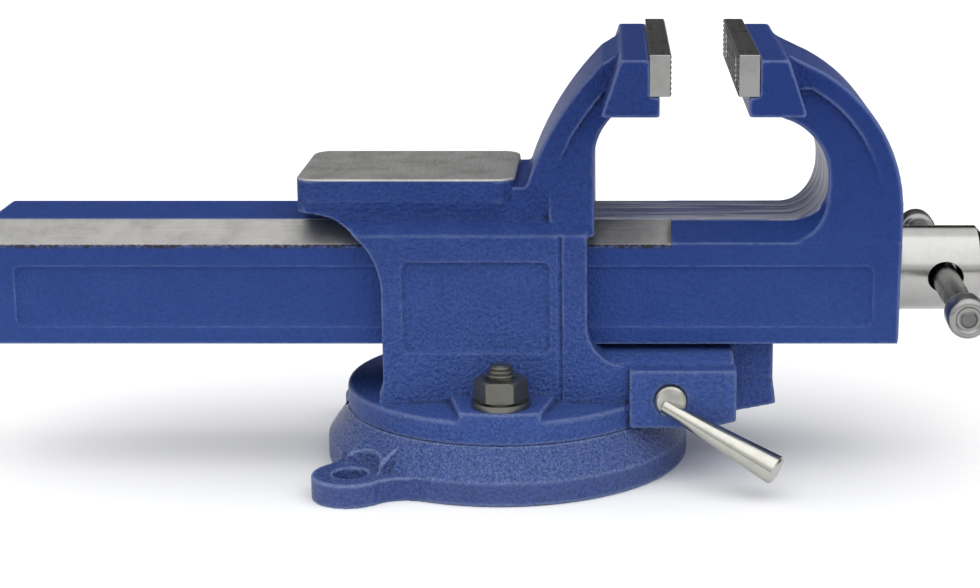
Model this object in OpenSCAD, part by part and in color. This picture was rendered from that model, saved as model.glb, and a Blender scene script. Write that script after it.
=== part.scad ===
// Quick-release bench vise with a swivel base, an anvil and two bolted jaw plates.
// Origin on the swivel axis, at the bench face. The slide runs along X, the jaws are wide along Y.

/* [Swivel base] */
// Radius of the base rim
base_r = 96; // [92:0.5:100]
// Height of the upright rim
rim_h = 12.5; // [12.5:0.5:18]
// Height of the base up to the parting plane
base_h = 28.3; // [26:0.1:36]
// Distance of the lug holes from the swivel axis, along the slide
lug_x = 76; // [75:0.5:84]
// Distance of the front lug hole from the swivel axis, across the slide
lug_front_y = 78.5; // [75:0.5:84]
// Distance of the back lug holes from the swivel axis, across the slide
lug_back_y = 66; // [64:0.5:84]
// Radius of the rounded lug end
lug_r = 19.6; // [17:0.1:22]
// Radius of the hollow curves between a lug and the rim
lug_fillet = 20; // [10:1:30]
// Thickness of a lug
lug_t = 12.4; // [9:0.1:12.5]
// Diameter of a lug hole
lug_hole_d = 17.5; // [13:0.5:20]
// Diameter of the spot face round a lug hole
lug_spot_d = 30; // [24:1:34]
// Width of the web between a lug and the top of the base
lug_web_w = 26; // [20:1:29]
// Thickness of the floor under the ring slot
slot_floor = 5.5; // [4:0.1:8]
// Height of the wide part of the ring slot
slot_h = 10.5; // [9:0.1:13]
// Diameter of the pivot spigot
spigot_d = 40; // [30:1:50]
// Length of the pivot spigot
spigot_l = 17; // [10:0.5:19]

/* [Swivel lock] */
// Distance of the lock bolts from the swivel axis
lock_reach = 69; // [68:0.5:69.5]
// Diameter of the lock bolts
lock_d = 16; // [12:1:18]
// Height of the square bolt head
lock_head_h = 9; // [7:0.5:9.5]
// Width across the flats of the lock nut, and of the square bolt head
lock_nut_af = 24; // [22:0.5:26]
// Height of the lock nut
lock_nut_h = 11.4; // [10:0.2:16]
// Outer diameter of the lock washer
lock_washer_d = 30; // [27:0.5:31]
// Thickness of the lock washer
lock_washer_t = 3; // [2:0.5:4]
// Length of the stud above the nut
stud_proud = 7; // [4:0.5:16]
// Length of the stud's tapered end
stud_taper = 5; // [2:0.5:6]
// Diameter of the stud's tapered end
stud_end_d = 10.6; // [8:0.2:14]

/* [Fixed body] */
// Radius of the swivel flange
flange_r = 85; // [84.6:0.2:88]
// Thickness of the swivel flange at its rim
flange_t = 12.3; // [10:0.1:15]
// Height of the raised nut pad above the flange's rim
pad_h = 4.6; // [3:0.1:6]
// Width of the raised nut pad at the rim
pad_w = 40; // [34:1:46]
// Width of the raised nut pad at the column
pad_root_w = 54; // [48:1:60]
// Rear face of the column, left of the swivel axis
column_rear = 61; // [58:0.5:66]
// Front face of the column, right of the swivel axis
column_front = 43.5; // [40:0.5:46]
// Thickness of the column wall beside the slide
column_wall = 12.7; // [10:0.1:14]
// Height of the shoulder edge above the slide floor
shoulder_rise = 59.7; // [56:0.1:61]
// Rise of the sloped shoulder up to the post under the arm
shoulder_slope = 5.8; // [4:0.1:9]
// Depth of the bare panel on each side of the column
panel_depth = 1.6; // [0.6:0.1:2]
// Width of the groove beside the column's front edge
groove_w = 2.4; // [1.4:0.1:4]

/* [Anvil] */
// Height of the anvil face above the slide top
anvil_rise = 23.8; // [20:0.2:28]
// Length of the anvil
anvil_l = 111.2; // [100:0.2:112]
// Width of the anvil
anvil_w = 84; // [82:1:96]
// Corner radius of the anvil
anvil_corner = 10; // [6:1:20]
// Height of the anvil fascia
fascia_h = 12.2; // [10:0.2:13]
// Height of the narrow band below the fascia
cornice_h = 3; // [2:0.1:4]
// Step of each band below the fascia
cornice_step = 1; // [0.6:0.1:1.5]
// Height of the anvil's rear end
anvil_end_h = 17.7; // [16:0.1:19]
// Overhang of the anvil behind the column
anvil_reach = 43.4; // [38:0.2:46]

/* [Jaws] */
// Width of the jaws
jaw_w = 150; // [120:1:180]
// Height of the jaw plates' top edge above the slide top
jaw_rise = 91.2; // [86:0.2:100]
// Grip face of the fixed jaw plate, from the swivel axis
grip_x = 84.9; // [83.5:0.2:89]
// Jaw opening as modelled
jaw_gap = 31.9; // [20:0.1:34]
// Thickness of a jaw plate
plate_t = 10.8; // [9:0.1:12]
// Height of a jaw plate
plate_h = 20.4; // [17:0.2:22]
// Height of a jaw plate's edge above its block
plate_proud = 2.5; // [1:0.1:4]
// Distance between the two screws of a plate
plate_screw_gap = 90; // [70:1:110]
// Diameter of the plate screws
plate_screw_d = 8; // [6:0.5:9]
// Length of a plate screw
plate_screw_l = 22; // [18:0.5:24]
// Height of a jaw block
block_h = 30.7; // [28:0.2:33]
// Depth of a jaw block's sloped back, at its foot
block_foot = 23.2; // [21:0.2:26]
// Depth of a jaw block's sloped back, at its top
block_top = 14.2; // [12:0.2:18]
// Width of the raised rim along the back of an arm
rim_w = 11; // [8:0.5:14]
// Depth of the hollow web of an arm, at the jaw block
web_depth = 4.5; // [2:0.1:5.5]

/* [Slide] */
// Height of the slide floor in the column
slide_floor = 69; // [67.5:0.1:71]
// Height of the slide
slide_h = 62.8; // [62:0.1:66]
// Half width of the flat top of the slide
slide_top_half = 23; // [18:0.5:27]
// Height of the sloped guide faces
guide_drop = 11.2; // [8:0.2:13]
// Thickness of the slide walls
slide_wall = 9.8; // [8:0.1:12]
// Room inside the slide above the retaining collar
collar_room = 1.2; // [0.8:0.1:2]
// Rear end of the slide, from the swivel axis
slide_rear = 265.8; // [240:0.2:300]
// Front face of the moving jaw, from the swivel axis
slide_front = 204.2; // [202:0.2:209]
// Draft of the moving jaw's front face, over its height
front_draft = 0.5; // [0.5:0.1:3]
// Thickness of the front wall that carries the screw
front_wall = 25; // [20:0.5:27]
// Front end of the machined guide faces
guide_end = 86.5; // [80:0.5:100]
// Height of the cast surface above the machined guide faces
cast_step = 1.5; // [0.8:0.1:2]

/* [Screw] */
// Diameter of the main screw
screw_d = 28; // [26:0.5:30]
// Height of the screw axis above the slide floor
screw_rise = 31.4; // [30.6:0.1:32]
// Rear end of the screw, from the swivel axis
screw_rear = 93.5; // [90:0.5:120]
// Diameter of the plain journal in the front wall
journal_d = 30; // [30:0.5:34]
// Diameter of the turned boss
boss_d = 44.6; // [40:0.2:50]
// Length of the turned boss
boss_l = 43.1; // [40:0.1:54]
// Thickness of the thrust washer
thrust_t = 2.5; // [2:0.1:3.5]
// Outer diameter of the thrust washer
thrust_d = 50; // [47:0.5:56]
// Outer diameter of the retaining collar
collar_d = 44; // [40:0.5:46]
// Length of the retaining collar
collar_l = 10; // [8:0.5:12]
// Diameter of the roll pin in the collar
collar_pin_d = 5; // [4:0.5:6]

/* [Handle] */
// Diameter of the handle bar
bar_d = 14; // [12:0.5:16]
// Length of the handle bar
bar_l = 196; // [170:1:230]
// Diameter of a handle knob
knob_d = 20.4; // [19:0.2:24]
// Length of a handle knob
knob_l = 17; // [12:0.5:22]
// Distance of the cross hole from the end of the boss
hole_inset = 20.4; // [17:0.1:22]
// Turn of the handle about the screw, from level
handle_turn = 1.5; // [0:0.5:12]
// Play of the bar in its cross hole, on each side
bar_play = 1.2; // [0.8:0.1:2]
// Diameter of the tenon that carries a knob
tenon_d = 8; // [6:0.5:10]

/* [Quick release] */
// Half width of the half nut
nut_half_w = 22; // [20:0.2:22.5]
// Rear face of the half nut, from the swivel axis
nut_rear = 64.3; // [62.3:0.1:66.3]
// Length of the half nut
nut_l = 43; // [41:0.5:46]
// Lever shaft, distance from the swivel axis
shaft_x = 85.8; // [84.8:0.1:86.8]
// Lever shaft, height above the parting plane
shaft_rise = 16.3; // [15.5:0.1:17]
// Diameter of the lever shaft inside the housing
shaft_d = 22; // [21.4:0.1:22.6]
// Diameter of the lever shaft where it comes out
shaft_end_d = 15.8; // [14.5:0.1:17]
// Length of the shaft end outside the housing
shaft_proud = 3; // [3:0.5:8]
// Offset of the eccentric journal
eccentric = 5; // [4.6:0.1:5.2]
// Diameter of the eccentric journal
journal_pin_d = 11.6; // [10:0.1:12]
// Diameter of the lever arm where it leaves the shaft
arm_root_d = 8; // [6:0.1:9]
// Diameter of the lever arm at its free end
arm_end_d = 15.5; // [11:0.1:16]
// Length of the lever arm outside the shaft's end face
arm_l = 60.8; // [50:0.2:76]
// Length of the lever arm inside the shaft
arm_seat = 6; // [4:0.5:7]
// Drop of the lever arm's root below the shaft axis
arm_drop = 4.9; // [3:0.1:5]
// Droop of the lever arm below level
arm_droop = 25.3; // [20:0.1:32]
// Lean of the lever arm away from the housing
arm_lean = 22.2; // [20:0.1:30]
// Wire diameter of the half nut spring
spring_wire = 1.6; // [1.2:0.1:2]
// Outer diameter of the half nut spring
spring_d = 10.4; // [9:0.1:11]

/* [Hidden] */
$fn = 64;

// Clearances: sliding faces, running fits, pressed fits and faces that only pass each other
slide_fit = 0.3;
run_fit = 0.08;
press_fit = 0.03;
free_fit = 0.4;
// Overshoot of a cutting body
cut = 1;

paint = "#2446a0";
bare = "#b4b4b0";
ground = "#8c8b86";
oxide = "#3c3c38";

// Base, with the room round the bolt heads, the studs and the spigot's end
head_room = 2.5;
stud_room = 0.6;
spigot_room = 1.5;
lugs = [[-lug_x, -lug_front_y], [-lug_x, lug_back_y], [lug_x, lug_back_y]];
slot_half = lock_nut_af / 2 + head_room;
neck_half = lock_d / 2 + stud_room;
slot_top = slot_floor + slot_h;
spigot_floor = base_h - spigot_l - spigot_room;

// Widths across the slide, from the half nut outwards
nose_wall = 4.2;
nose_room = 2.7;
cheek_proud = 7.5;
nose_half = nut_half_w + slide_fit + nose_wall;
channel_half = nose_half + nose_room;
slide_half = channel_half + slide_wall;
column_half = slide_half + slide_fit + column_wall;
arm_half = slide_half - 0.5;
cheek_half = column_half + cheek_proud;
post_half = anvil_w / 2 - 2 * cornice_step;

// Heights
web_sink = 8;
clip_w = 3;
housing_drop = 8.8;
flange_top = base_h + flange_t;
pad_top = flange_top + pad_h;
slide_top = slide_floor + slide_h;
guide_foot = slide_top - guide_drop;
screw_z = slide_floor + screw_rise;
channel_top = screw_z + collar_d / 2 + collar_room;
shoulder_z = slide_floor + shoulder_rise;
anvil_top = slide_top + anvil_rise;
anvil_foot = anvil_top - anvil_end_h;
post_z = shoulder_z + shoulder_slope;
jaw_top = slide_top + jaw_rise;
block_z1 = jaw_top - plate_proud;
block_z0 = jaw_top - block_h;
seat_z = jaw_top - plate_h;
web_z = block_z0 + web_sink;
housing_top = slide_floor - housing_drop;
shaft_z = base_h + shaft_rise;

// Places along the slide
throat_step = 3.5;
arm_setback = 5.4;
lip_short = 0.3;
cheek_setback = 21.4;
cheek_wall = 12;
nose_reach = 32.7;
move_x = grip_x + jaw_gap;
fixed_seat = grip_x - plate_t;
moving_seat = move_x + plate_t;
throat_x = column_front + throat_step;
anvil_rear = -column_rear - anvil_reach;
anvil_front = anvil_rear + anvil_l;
arm_root_x = anvil_front + arm_setback;
wall_x = slide_front - front_wall;
boss_x = slide_front + thrust_t;
boss_end = boss_x + boss_l;
handle_x = boss_end - hole_inset;
lip = plate_t / 2 - lip_short;
nut_front = nut_rear + nut_l;
cheek_x = column_front + cheek_setback;
cheek_front = nut_front + cheek_wall;
nose_front = nut_front + nose_reach;

// Quick release, with the walls of the half nut and the room of its window, step and spring
release_turn = 50;
window_room = 0.5;
window_wall = 3.5;
nut_sole = 3.8;
nut_step_h = 11;
drop_room = 1.2;
spring_sink = 14;
shaft_cover = 10;
pin_angle = 180 - release_turn / 2;
pin_x = shaft_x + eccentric * cos(pin_angle);
pin_z = shaft_z + eccentric * sin(pin_angle);
nut_drop = 2 * eccentric * sin(release_turn / 2);
window_half = journal_pin_d / 2 + window_room;
window_x = shaft_x - eccentric * (1 + cos(release_turn / 2)) / 2;
nut_foot = pin_z - journal_pin_d / 2 - slide_fit - nut_sole;
nut_step_x = window_x + window_half + window_wall;
nut_step_z = nut_foot + nut_step_h;
spring_x = (nut_step_x + nut_front) / 2;
spring_floor = nut_step_z - nut_drop - drop_room;
spring_top = nut_step_z + spring_sink;
shaft_shoulder = -cheek_half + shaft_cover;
shaft_back = cheek_half - 2;

// Points on a circular arc about c, from angle a0 to angle a1
function arc(c, r, a0, a1, n = 16) =
    [for (i = [0:n]) let (a = a0 + (a1 - a0) * i / n) c + r * [cos(a), sin(a)]];

// Centre of the arc of radius r through p and q, on the right hand going from p to q
function arc_centre(p, q, r) =
    let (d = q - p, h = norm(d) / 2, m = (p + q) / 2, s = sqrt(r * r - h * h) / norm(d))
    m + s * [d[1], -d[0]];

// Points on the arc of radius r from p to q, bulging to the left
function arc_through(p, q, r, n = 16) =
    let (c = arc_centre(p, q, r), u = p - c, v = q - c, a0 = atan2(u[1], u[0]), da = atan2(v[1], v[0]) - a0,
         turn = da > 180 ? da - 360 : da < -180 ? da + 360 : da)
    arc(c, r, a0, a0 + turn, n);

// Points on a curve with one control point
function bend(p, c, q, n = 14) =
    [for (i = [0:n]) let (t = i / n) (1 - t) * (1 - t) * p + 2 * t * (1 - t) * c + t * t * q];

// Outline in X and Z, drawn as wide as w along Y and centred on Y = 0
module across(w) {
    rotate([90, 0, 0]) linear_extrude(w, center = true) children();
}

// Outline in Y and Z, drawn from x0 to x1
module along(x0, x1) {
    translate([x0, 0, 0]) rotate([90, 0, 90]) linear_extrude(x1 - x0) children();
}

// Rectangle from corner p to corner q with corners of radius r
module rounded(p, q, r) {
    translate([p[0] + r, p[1]]) square([q[0] - p[0] - 2 * r, q[1] - p[1]]);
    translate([p[0], p[1] + r]) square([q[0] - p[0], q[1] - p[1] - 2 * r]);
    for (x = [p[0] + r, q[0] - r], y = [p[1] + r, q[1] - r]) translate([x, y]) circle(r);
}

// Cylinder along X from x0 to x1 at the screw's height
module screw_bar(x0, x1, d, d2 = undef) {
    translate([x0, 0, screw_z]) rotate([0, 90, 0])
        cylinder(h = x1 - x0, d1 = d, d2 = is_undef(d2) ? d : d2);
}

// Cylinder along Y from y0 to y1
module cross_bar(x, y0, y1, z, d) {
    translate([x, y1, z]) rotate([90, 0, 0]) cylinder(h = y1 - y0, d = d);
}

// Both sides of the vise, front first
module both_sides() {
    children();
    mirror([0, 1, 0]) children();
}

// Section of the slide, grown by g on every side
module slide_section(g = 0) {
    polygon([
        [-slide_half - g, slide_floor - g], [-slide_half - g, guide_foot + g / 2],
        [-slide_top_half - g / 2, slide_top + g], [slide_top_half + g / 2, slide_top + g],
        [slide_half + g, guide_foot + g / 2], [slide_half + g, slide_floor - g]
    ]);
}

// Outline of a jaw block whose plate seats at x; s is the direction towards the gap
module jaw_block(x, s) {
    edge = 1.5;
    across(jaw_w) polygon([
        [x, block_z1], [x, seat_z], [x + s * lip, seat_z], [x + s * lip, block_z0],
        [x - s * block_foot, block_z0], [x - s * block_foot, block_z0 + edge], [x - s * block_top, block_z1]
    ]);
}

// Blind holes for the two screws of a jaw plate that seats at x
module plate_screw_bores(x, s) {
    end_room = 2;
    for (y = [-1, 1] * plate_screw_gap / 2)
        translate([x + s * cut, y, (seat_z + block_z1) / 2]) rotate([0, -s * 90, 0])
            cylinder(h = plate_screw_l - plate_t + end_room + cut, d = plate_screw_d + 2 * press_fit);
}

// Jaw plate from its seat at x; s is the direction of its grip face
module jaw_plate(x, s) {
    difference() {
        translate([min(x, x + s * plate_t), -jaw_w / 2, seat_z]) cube([plate_t, jaw_w, plate_h]);
        for (y = [-1, 1] * plate_screw_gap / 2)
            translate([x + s * plate_t, y, (seat_z + block_z1) / 2]) rotate([0, -s * 90, 0]) {
                translate([0, 0, -cut]) cylinder(h = plate_t + 2 * cut, d = plate_screw_d + 2 * free_fit);
                cylinder(h = plate_screw_d / 2, d1 = 2 * plate_screw_d, d2 = plate_screw_d);
            }
    }
}

// Countersunk socket screws of the plate that seats at x
module jaw_plate_screws(x, s) {
    sink = 0.6;
    head_d = 2 * (plate_screw_d - sink) - free_fit;
    socket_d = plate_screw_d * 0.7;
    for (y = [-1, 1] * plate_screw_gap / 2)
        translate([x + s * (plate_t - sink), y, (seat_z + block_z1) / 2]) rotate([0, -s * 90, 0])
            difference() {
                union() {
                    cylinder(h = plate_screw_l, d = plate_screw_d);
                    cylinder(h = plate_screw_d / 2, d1 = head_d, d2 = head_d - plate_screw_d);
                }
                translate([0, 0, -cut]) cylinder(h = plate_screw_d / 2 + cut, d = socket_d, $fn = 6);
            }
}

// Plan of a lug at c, swept into the rim by two hollow curves
module lug_outline(c) {
    reach = norm(c);
    to_rim = base_r + lug_fillet;
    to_lug = lug_r + lug_fillet;
    spread = acos((to_rim * to_rim + reach * reach - to_lug * to_lug) / (2 * to_rim * reach));
    hollow = [for (s = [-1, 1]) let (a = atan2(c[1], c[0]) + s * spread) to_rim * [cos(a), sin(a)]];
    translate(c) circle(lug_r);
    difference() {
        polygon([[0, 0], hollow[0], c, hollow[1]]);
        for (h = hollow) translate(h) circle(lug_fillet);
    }
}

// Sloping web from the top of the base down to a lug at c
module lug_web(c) {
    drop = 1.5;
    root = 2;
    rotate(atan2(c[1], c[0])) across(lug_web_w) polygon([
        [flange_r - root, 0], [flange_r - root, base_h - drop], [norm(c), lug_t], [norm(c), 0]
    ]);
}

// Round cast base with a ring slot for the lock bolts and three bolt lugs
module swivel_base() {
    edge = 1;
    entry_r = lock_nut_af * sqrt(0.5) + free_fit;
    color(paint) difference() {
        union() {
            rotate_extrude() polygon([
                [0, 0], [base_r - edge, 0], [base_r, edge], [base_r, rim_h], [flange_r, base_h], [0, base_h]
            ]);
            for (c = lugs) {
                linear_extrude(lug_t) lug_outline(c);
                lug_web(c);
            }
        }
        rotate_extrude() translate([lock_reach - slot_half, slot_floor]) square([2 * slot_half, slot_h]);
        rotate_extrude() translate([lock_reach - neck_half, slot_floor])
            square([2 * neck_half, base_h - slot_floor + cut]);
        translate([-lock_reach, 0, slot_floor]) cylinder(h = base_h, r = entry_r);
        translate([0, 0, spigot_floor]) cylinder(h = base_h, d = spigot_d + 2 * run_fit);
        for (c = lugs) translate(c) {
            translate([0, 0, -cut]) cylinder(h = base_h, d = lug_hole_d);
            translate([0, 0, lug_t]) cylinder(h = base_h, d = lug_spot_d);
        }
    }
}

// Side view of the column with its anvil bracket, flared foot and shoulder to the nut housing
module column_outline() {
    flare = 2;
    flare_h = 6;
    bracket_h = 38;
    bracket_lean = 3.5;
    rear = -column_rear;
    fillet = cheek_x - column_front;
    polygon(concat(
        [[rear - flare, base_h], [rear - flare, flange_top + flare_h], [rear, flange_top + 2 * flare_h]],
        bend([rear, anvil_foot - bracket_h], [rear - bracket_lean, anvil_foot - bracket_lean],
             [anvil_rear + bracket_lean, anvil_foot]),
        [[anvil_rear, anvil_foot], [anvil_rear, anvil_top - fascia_h],
         [anvil_front - cornice_step, anvil_top - fascia_h], [anvil_front - cornice_step, post_z],
         [column_front, post_z]],
        arc([cheek_x, housing_top + fillet], fillet, 180, 270),
        [[cheek_x, base_h]]
    ));
}

// Section of the column with its sloped shoulders
module column_section() {
    polygon([
        [-column_half, base_h], [-column_half, shoulder_z], [-post_half, post_z], [-post_half, anvil_top],
        [post_half, anvil_top], [post_half, post_z], [column_half, shoulder_z], [column_half, base_h]
    ]);
}

// Plan of the column and its bracket, rounded at the rear end like the anvil
module column_plan() {
    rounded([anvil_rear, -anvil_w / 2], [anvil_front, anvil_w / 2], anvil_corner);
    translate([anvil_rear + anvil_corner, -column_half])
        square([cheek_x - anvil_rear - anvil_corner, 2 * column_half]);
}

// Side view of the goose-neck arm that carries the fixed jaw, with a low ledge from its foot to the anvil
arm_end_drop = 6.7;
fixed_arm_end = 9.3;
ledge_drop = 4.5;
fixed_arm_top = [fixed_seat - block_top - fixed_arm_end, block_z1 - arm_end_drop];
fixed_arm_foot = [arm_root_x, anvil_top - ledge_drop];
fixed_arm_r = 158;
fixed_throat_r = 30;
module fixed_arm_outline() {
    sweep = 65;
    blend = 4;
    edge = 1;
    throat_z = block_z0 - fixed_throat_r * sin(sweep);
    polygon(concat(
        [[anvil_front - cornice_step, slide_top], [anvil_front - cornice_step, fixed_arm_foot[1]]],
        arc_through(fixed_arm_foot, fixed_arm_top, fixed_arm_r),
        [[fixed_seat - block_top, block_z1 - edge], [fixed_seat, block_z0]],
        arc([throat_x + fixed_throat_r, throat_z], fixed_throat_r, 180 - sweep, 180),
        [[throat_x, shoulder_z + blend], [column_front, shoulder_z - blend]]
    ));
}

// Flank of the arm's foot, curved out to the column's front edge
module arm_flank() {
    flank_h = 24;
    flank_w = 10;
    slant = 9;
    left = column_front - 10.6;
    top = post_z + flank_h;
    foot = shoulder_z - cut;
    both_sides() intersection() {
        across(2 * column_half) polygon([
            [left, foot], [left - slant, post_z], [left - slant, top], [throat_x, top], [throat_x, foot]
        ]);
        along(left - slant, throat_x) polygon(concat(
            [[0, foot]],
            bend([-post_half - flank_w, foot], [-post_half, post_z], [-post_half, top]),
            [[0, top]]
        ));
    }
}

// Hollow in the side of an arm at half width w: no depth at z0 and the full web depth at the jaw block
module web_hollow(w, z0) {
    intersection() {
        translate([0, -w + web_depth, 0]) rotate([90, 0, 0]) linear_extrude(web_depth + cut) children();
        along(0, slide_front) polygon([[-w - cut, z0], [-w, z0], [-w + web_depth, web_z], [-w - cut, web_z]]);
    }
}

// Part of the fixed arm inside its raised rim
module fixed_arm_web() {
    centre = arc_centre(fixed_arm_foot, fixed_arm_top, fixed_arm_r);
    intersection() {
        fixed_arm_outline();
        translate(centre) circle(fixed_arm_r - rim_w, $fn = 128);
    }
}

// Cheeks that carry the lever shaft, and the nose that guides the half nut
module nut_housing() {
    wall_half = column_half - 1;
    wall_slope = 7.5;
    wall_z = housing_top + 1.6;
    wall_front = cheek_front - 1;
    foot_z = base_h + 1.5;
    toe = [14, 3.5];
    nose_rear = column_front - 2;
    nose_root = cheek_front - 5;
    nose_z = slide_floor - 22;
    nose_toe = [nose_front + 2, base_h + 4.4];
    nose_step = 1.2;
    screw_room = screw_z - screw_d / 2 - 2;
    across(2 * cheek_half) polygon([
        [cheek_x, foot_z], [cheek_front - toe[0], foot_z], [cheek_front, foot_z + toe[1]],
        [cheek_front, housing_top], [cheek_x, housing_top]
    ]);
    intersection() {
        across(2 * wall_half) polygon([
            [column_front, base_h], [cheek_front - toe[0], base_h], [wall_front, foot_z + toe[1]],
            [wall_front, slide_floor], [column_front, slide_floor]
        ]);
        along(column_front, cheek_front) polygon([
            [-wall_half, base_h], [-wall_half, wall_z], [-wall_half + wall_slope, wall_z + wall_slope / 2],
            [wall_half - wall_slope, wall_z + wall_slope / 2], [wall_half, wall_z], [wall_half, base_h]
        ]);
    }
    across(2 * nose_half) polygon([
        [nose_rear, base_h], [wall_front, base_h], [wall_front, nose_z], [nose_front, nose_z],
        [nose_front, slide_floor + 1], [nose_root, screw_room], [nose_rear, screw_room]
    ]);
    across(2 * (nose_half - nose_step)) polygon([
        [nose_root, base_h], [cheek_front, base_h], nose_toe, [nose_front, nose_z], [nose_root, nose_z]
    ]);
}

// One band of the anvil's edge, h high with its top at z and drawn in by inset from the face
module anvil_band(z, h, inset) {
    half = anvil_w / 2 - inset;
    translate([0, 0, z - h]) linear_extrude(h)
        rounded([anvil_rear, -half], [anvil_front - inset, half], anvil_corner - inset);
}

// Raised seat of the front lock nut, wider towards the column
module nut_pad() {
    intersection() {
        translate([0, 0, base_h]) linear_extrude(pad_top - base_h) polygon([
            [-pad_w / 2, -flange_r], [pad_w / 2, -flange_r], [pad_root_w / 2, -column_half], [pad_w / 2, 0],
            [-pad_w / 2, 0], [-pad_root_w / 2, -column_half]
        ]);
        translate([0, 0, base_h]) cylinder(h = pad_top, r = flange_r);
    }
}

// Flange, column, anvil, arm, jaw block and nut housing, cast in one piece
module fixed_body() {
    flange_edge = 1;
    core_wall = 9;
    core_l = column_rear + column_front - 2 * core_wall;
    core_floor = flange_top - 4;
    groove_x = column_front - 15;
    panel_x = [-column_rear + 10.5, groove_x - 4];
    panel_z = [slide_floor - 1.4, slide_floor + 46];
    panel_r = 4;
    mouth = 1.2;
    web_rise = 22;
    color(paint) difference() {
        union() {
            translate([0, 0, base_h - spigot_l]) cylinder(h = spigot_l + cut, d = spigot_d);
            rotate_extrude() polygon([
                [0, base_h], [flange_r, base_h], [flange_r, flange_top - flange_edge],
                [flange_r - flange_edge, flange_top],
                [column_half, flange_top + flange_edge], [0, flange_top + flange_edge]
            ]);
            both_sides() nut_pad();
            intersection() {
                across(2 * column_half) column_outline();
                along(anvil_rear, cheek_x) column_section();
                linear_extrude(anvil_top) column_plan();
            }
            anvil_band(anvil_top, fascia_h, 0);
            anvil_band(anvil_top - fascia_h, cornice_h, cornice_step);
            across(2 * post_half) fixed_arm_outline();
            arm_flank();
            jaw_block(fixed_seat, 1);
            nut_housing();
        }
        // Slide passage, and the cored middle of its floor
        along(anvil_rear, throat_x + cut) slide_section(slide_fit);
        translate([-column_rear + core_wall, -channel_half, core_floor])
            cube([core_l, 2 * channel_half, slide_floor - core_floor + cut]);
        // Web of the arm, bare panel and pilaster groove on both sides
        both_sides() {
            web_hollow(post_half, post_z + web_rise) fixed_arm_web();
            translate([0, -column_half + panel_depth, 0]) rotate([90, 0, 0]) linear_extrude(panel_depth + cut)
                rounded([panel_x[0], panel_z[0]], [panel_x[1], panel_z[1]], panel_r);
            translate([groove_x, -column_half - cut, flange_top + flange_edge])
                cube([groove_w, panel_depth + cut, shoulder_z - flange_top - flange_edge]);
        }
        // Lock bolts, plate screws and lever shaft
        for (y = [-1, 1] * lock_reach) translate([0, y, 0])
            cylinder(h = pad_top + cut, d = lock_d + 2 * free_fit);
        plate_screw_bores(fixed_seat, 1);
        cross_bar(shaft_x, -cheek_half - cut, cheek_half + cut, shaft_z, shaft_end_d + 2 * run_fit);
        cross_bar(shaft_x, shaft_shoulder - slide_fit, cheek_half + cut, shaft_z, shaft_d + 2 * run_fit);
        cross_bar(shaft_x, shaft_back - clip_w + slide_fit, shaft_back, shaft_z, shaft_d + 2);
        translate([shaft_x, -cheek_half, shaft_z]) rotate([-90, 0, 0])
            cylinder(h = mouth, d1 = shaft_end_d + 2 * mouth, d2 = shaft_end_d);
        // Guide pocket of the half nut, stepped for the spring
        translate([nut_rear - slide_fit, -nut_half_w - slide_fit, spring_floor])
            cube([nut_l + 2 * slide_fit, 2 * (nut_half_w + slide_fit), screw_z]);
        translate([nut_rear - slide_fit, -nut_half_w - slide_fit, base_h - cut])
            cube([nut_step_x - nut_rear + 2 * slide_fit, 2 * (nut_half_w + slide_fit), screw_z]);
    }
}

// Square-headed bolts in the ring slot, with their studs standing through the flange
module lock_bolts() {
    head_top = slot_top - slide_fit;
    stud_top = pad_top + lock_washer_t + lock_nut_h + stud_proud;
    color(oxide) for (y = [-1, 1] * lock_reach) translate([0, y, 0]) {
        translate([-lock_nut_af / 2, -lock_nut_af / 2, head_top - lock_head_h])
            cube([lock_nut_af, lock_nut_af, lock_head_h]);
        translate([0, 0, head_top - cut]) cylinder(h = stud_top - stud_taper - head_top + cut, d = lock_d);
        translate([0, 0, stud_top - stud_taper]) cylinder(h = stud_taper, d1 = lock_d, d2 = stud_end_d);
    }
}

module lock_washers() {
    color(ground) for (y = [-1, 1] * lock_reach) translate([0, y, pad_top]) difference() {
        cylinder(h = lock_washer_t, d = lock_washer_d);
        translate([0, 0, -cut]) cylinder(h = lock_washer_t + 2 * cut, d = lock_d + 2 * free_fit);
    }
}

// Hexagon nut with a flat towards the viewer and chamfered corners; side is -1 at the front
module lock_nut(side) {
    corner_d = lock_nut_af / cos(30);
    rim = corner_d / 2 + free_fit;
    chamfer = 1.4;
    color(oxide) translate([0, side * lock_reach, pad_top + lock_washer_t]) difference() {
        intersection() {
            cylinder(h = lock_nut_h, d = corner_d, $fn = 6);
            rotate_extrude() polygon([
                [0, 0], [lock_nut_af / 2, 0], [rim, chamfer],
                [rim, lock_nut_h - chamfer], [lock_nut_af / 2, lock_nut_h], [0, lock_nut_h]
            ]);
        }
        translate([0, 0, -cut]) cylinder(h = lock_nut_h + 2 * cut, d = lock_d + 2 * run_fit);
    }
}

module front_lock_nut() {
    lock_nut(-1);
}

module back_lock_nut() {
    lock_nut(1);
}

module fixed_jaw_plate() {
    color(bare) jaw_plate(fixed_seat, 1);
}

module fixed_jaw_screws() {
    color(oxide) jaw_plate_screws(fixed_seat, 1);
}

// Half nut that cradles the screw, with a window for the eccentric journal and a seat for its spring
module half_nut() {
    color(bare) difference() {
        across(2 * nut_half_w) polygon([
            [nut_rear, nut_foot], [nut_step_x, nut_foot], [nut_step_x, nut_step_z], [nut_front, nut_step_z],
            [nut_front, screw_z], [nut_rear, screw_z]
        ]);
        screw_bar(nut_rear - cut, nut_front + cut, screw_d + 2 * slide_fit);
        translate([window_x - window_half, -nut_half_w - cut, pin_z - journal_pin_d / 2 - slide_fit])
            cube([2 * window_half, 2 * (nut_half_w + cut), journal_pin_d + 2 * slide_fit]);
        translate([spring_x, 0, nut_step_z - cut])
            cylinder(h = spring_top - nut_step_z + cut, d = spring_d + 2 * free_fit);
    }
}

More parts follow.
